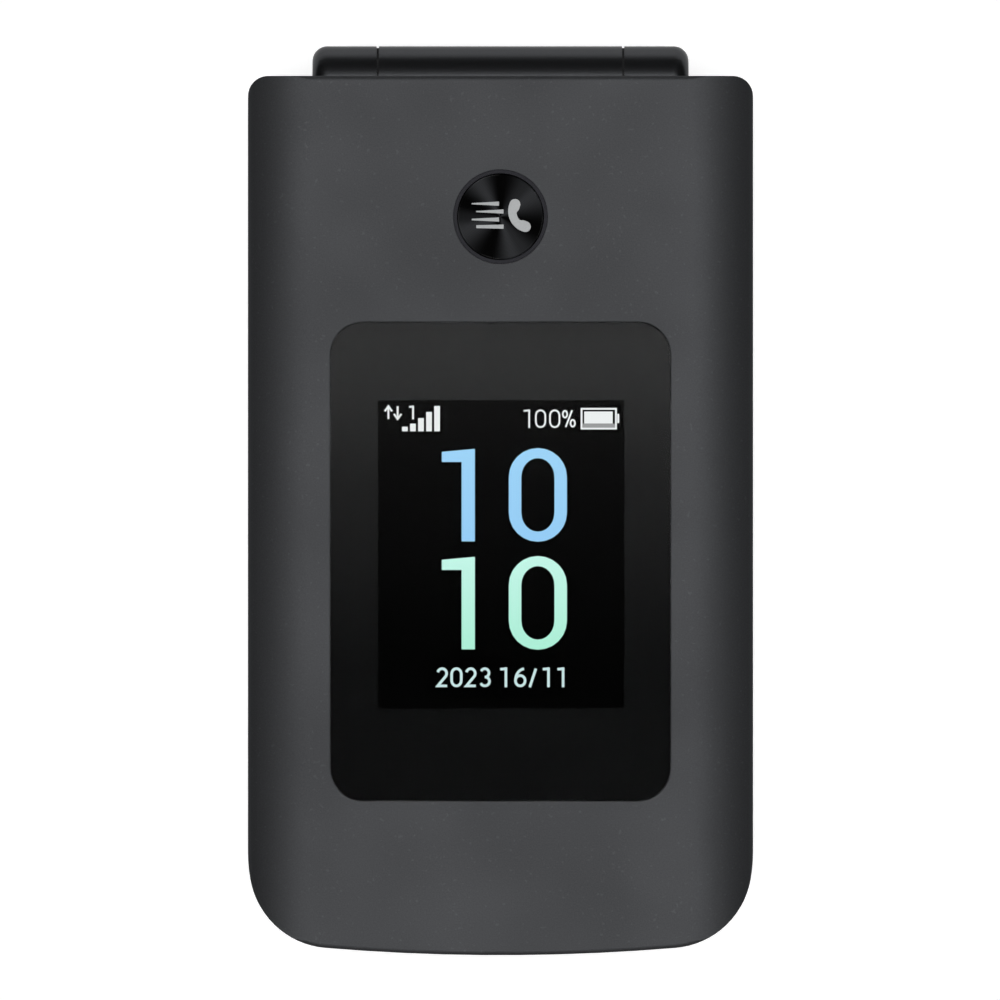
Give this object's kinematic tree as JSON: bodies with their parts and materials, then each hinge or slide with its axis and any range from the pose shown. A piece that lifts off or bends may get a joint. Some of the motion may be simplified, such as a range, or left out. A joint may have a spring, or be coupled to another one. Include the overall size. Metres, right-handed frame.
{
  "type": "flip phone",
  "caption": "Closed clamshell mobile phone with a rounded grey lid, outer window, round call button and barrel hinge; opens to a keypad and screen.",
  "frame": {"origin": "middle of the phone's bounding box in plan, on the plane of its flat back", "axes": "+X across the phone to the right, +Y along it towards the hinge, +Z out of the closed lid"},
  "size_m": [0.0576, 0.1034, 0.019],
  "materials": {
    "lid_paint": "fine satin grey paint",
    "frame_paint": "dark satin grey paint",
    "base_plastic": "satin grey moulded plastic",
    "window_gloss": "clear hard-coated acrylic with a black border",
    "display_panel": "dark display panel",
    "button_gloss": "gloss black, spun face",
    "dark_trim": "dark satin metal",
    "key_plastic": "black satin keys",
    "soft_rubber": "soft dark rubber",
    "steel": "plain bright steel",
    "circuit_board": "green solder mask",
    "battery_wrap": "dark film wrap",
    "black_plastic": "black moulded plastic",
    "gold_contact": "gold-plated springs on black plastic",
    "amber_film": "amber polyimide ribbon"
  },
  "bodies": {
    "base": {"base_front_cover": "frame_paint", "base_rear_cover": "base_plastic", "battery": "battery_wrap", "battery_contacts": "gold_contact", "keypad_mat": "soft_rubber", "dome_sheet": "steel", "main_board": "circuit_board", "shield_cans": "steel", "sim_holder": "steel", "usb_connector": "steel", "loudspeaker": "black_plastic", "vibration_motor": "steel", "microphone": "black_plastic", "antenna_carrier": "black_plastic", "camera_module": "black_plastic", "camera_window": "window_gloss", "base_screws": "steel", "hinge_shaft": "steel", "hinge_bushing": "black_plastic"},
    "lid": {"lid_outer_cover": "lid_paint", "lid_inner_cover": "frame_paint", "outer_window": "window_gloss", "outer_display": "display_panel", "button_trim_ring": "dark_trim", "button_switch": "steel", "lid_board": "circuit_board", "inner_window": "window_gloss", "inner_display": "display_panel", "earpiece": "black_plastic", "earpiece_mesh": "steel", "lid_magnet": "steel", "lid_bumpers": "soft_rubber", "lid_screws": "steel", "display_flex": "amber_film", "hinge_cartridge": "steel"},
    "quick_call_button": {"quick_call_button": "button_gloss"},
    "nav_actuator": {"nav_actuator": "steel"},
    "nav_ring": {"nav_ring": "dark_trim"},
    "volume_rocker": {"volume_rocker": "key_plastic"},
    "battery_door": {"battery_door": "base_plastic"},
    "key_1": {"key_1": "key_plastic"},
    "key_2": {"key_2": "key_plastic"},
    "key_3": {"key_3": "key_plastic"},
    "key_4": {"key_4": "key_plastic"},
    "key_5": {"key_5": "key_plastic"},
    "key_6": {"key_6": "key_plastic"},
    "key_7": {"key_7": "key_plastic"},
    "key_8": {"key_8": "key_plastic"},
    "key_9": {"key_9": "key_plastic"},
    "key_star": {"key_star": "key_plastic"},
    "key_0": {"key_0": "key_plastic"},
    "key_hash": {"key_hash": "key_plastic"},
    "soft_key_left": {"soft_key_left": "key_plastic"},
    "soft_key_right": {"soft_key_right": "key_plastic"},
    "message_key": {"message_key": "key_plastic"},
    "camera_key": {"camera_key": "key_plastic"},
    "send_key": {"send_key": "key_plastic"},
    "end_key": {"end_key": "key_plastic"},
    "ok_key": {"ok_key": "key_plastic"}
  },
  "joints": [
    {"name": "lid_hinge", "type": "hinge", "parent": "base", "child": "lid", "pos_m": [0, 0.04732, 0.011], "axis": [-1, 0, 0], "range_deg": [0, 160]},
    {"name": "quick_call_press", "type": "slide", "parent": "lid", "child": "quick_call_button", "axis": [0, 0, -1], "range_m": [0, 0.0003], "stiffness_N_per_m": 800},
    {"name": "nav_left_right", "type": "hinge", "parent": "base", "child": "nav_actuator", "pos_m": [0, 0.0226, 0.0087], "axis": [0, 1, 0], "range_deg": [-1, 1], "stiffness_Nm_per_rad": 0.3},
    {"name": "nav_up_down", "type": "hinge", "parent": "nav_actuator", "child": "nav_ring", "pos_m": [0, 0.0226, 0.0089], "axis": [1, 0, 0], "range_deg": [-1, 1], "stiffness_Nm_per_rad": 0.3},
    {"name": "volume_rock", "type": "hinge", "parent": "base", "child": "volume_rocker", "pos_m": [-0.0264, 0.024, 0.0053], "axis": [0, 0, 1], "range_deg": [-2.5, 2.5], "stiffness_Nm_per_rad": 0.3},
    {"name": "battery_door_off", "type": "slide", "parent": "base", "child": "battery_door", "axis": [0, 0, -1], "range_m": [0, 0.008]},
    {"name": "key_1_press", "type": "slide", "parent": "base", "child": "key_1", "axis": [0, 0, -1], "range_m": [0, 0.00035], "stiffness_N_per_m": 800},
    {"name": "key_2_press", "type": "slide", "parent": "base", "child": "key_2", "axis": [0, 0, -1], "range_m": [0, 0.00035], "stiffness_N_per_m": 800},
    {"name": "key_3_press", "type": "slide", "parent": "base", "child": "key_3", "axis": [0, 0, -1], "range_m": [0, 0.00035], "stiffness_N_per_m": 800},
    {"name": "key_4_press", "type": "slide", "parent": "base", "child": "key_4", "axis": [0, 0, -1], "range_m": [0, 0.00035], "stiffness_N_per_m": 800},
    {"name": "key_5_press", "type": "slide", "parent": "base", "child": "key_5", "axis": [0, 0, -1], "range_m": [0, 0.00035], "stiffness_N_per_m": 800},
    {"name": "key_6_press", "type": "slide", "parent": "base", "child": "key_6", "axis": [0, 0, -1], "range_m": [0, 0.00035], "stiffness_N_per_m": 800},
    {"name": "key_7_press", "type": "slide", "parent": "base", "child": "key_7", "axis": [0, 0, -1], "range_m": [0, 0.00035], "stiffness_N_per_m": 800},
    {"name": "key_8_press", "type": "slide", "parent": "base", "child": "key_8", "axis": [0, 0, -1], "range_m": [0, 0.00035], "stiffness_N_per_m": 800},
    {"name": "key_9_press", "type": "slide", "parent": "base", "child": "key_9", "axis": [0, 0, -1], "range_m": [0, 0.00035], "stiffness_N_per_m": 800},
    {"name": "key_star_press", "type": "slide", "parent": "base", "child": "key_star", "axis": [0, 0, -1], "range_m": [0, 0.00035], "stiffness_N_per_m": 800},
    {"name": "key_0_press", "type": "slide", "parent": "base", "child": "key_0", "axis": [0, 0, -1], "range_m": [0, 0.00035], "stiffness_N_per_m": 800},
    {"name": "key_hash_press", "type": "slide", "parent": "base", "child": "key_hash", "axis": [0, 0, -1], "range_m": [0, 0.00035], "stiffness_N_per_m": 800},
    {"name": "soft_key_left_press", "type": "slide", "parent": "base", "child": "soft_key_left", "axis": [0, 0, -1], "range_m": [0, 0.00035], "stiffness_N_per_m": 800},
    {"name": "soft_key_right_press", "type": "slide", "parent": "base", "child": "soft_key_right", "axis": [0, 0, -1], "range_m": [0, 0.00035], "stiffness_N_per_m": 800},
    {"name": "message_key_press", "type": "slide", "parent": "base", "child": "message_key", "axis": [0, 0, -1], "range_m": [0, 0.00035], "stiffness_N_per_m": 800},
    {"name": "camera_key_press", "type": "slide", "parent": "base", "child": "camera_key", "axis": [0, 0, -1], "range_m": [0, 0.00035], "stiffness_N_per_m": 800},
    {"name": "send_key_press", "type": "slide", "parent": "base", "child": "send_key", "axis": [0, 0, -1], "range_m": [0, 0.00035], "stiffness_N_per_m": 800},
    {"name": "end_key_press", "type": "slide", "parent": "base", "child": "end_key", "axis": [0, 0, -1], "range_m": [0, 0.00035], "stiffness_N_per_m": 800},
    {"name": "ok_key_press", "type": "slide", "parent": "base", "child": "ok_key", "axis": [0, 0, -1], "range_m": [0, 0.00035], "stiffness_N_per_m": 800}
  ]
}
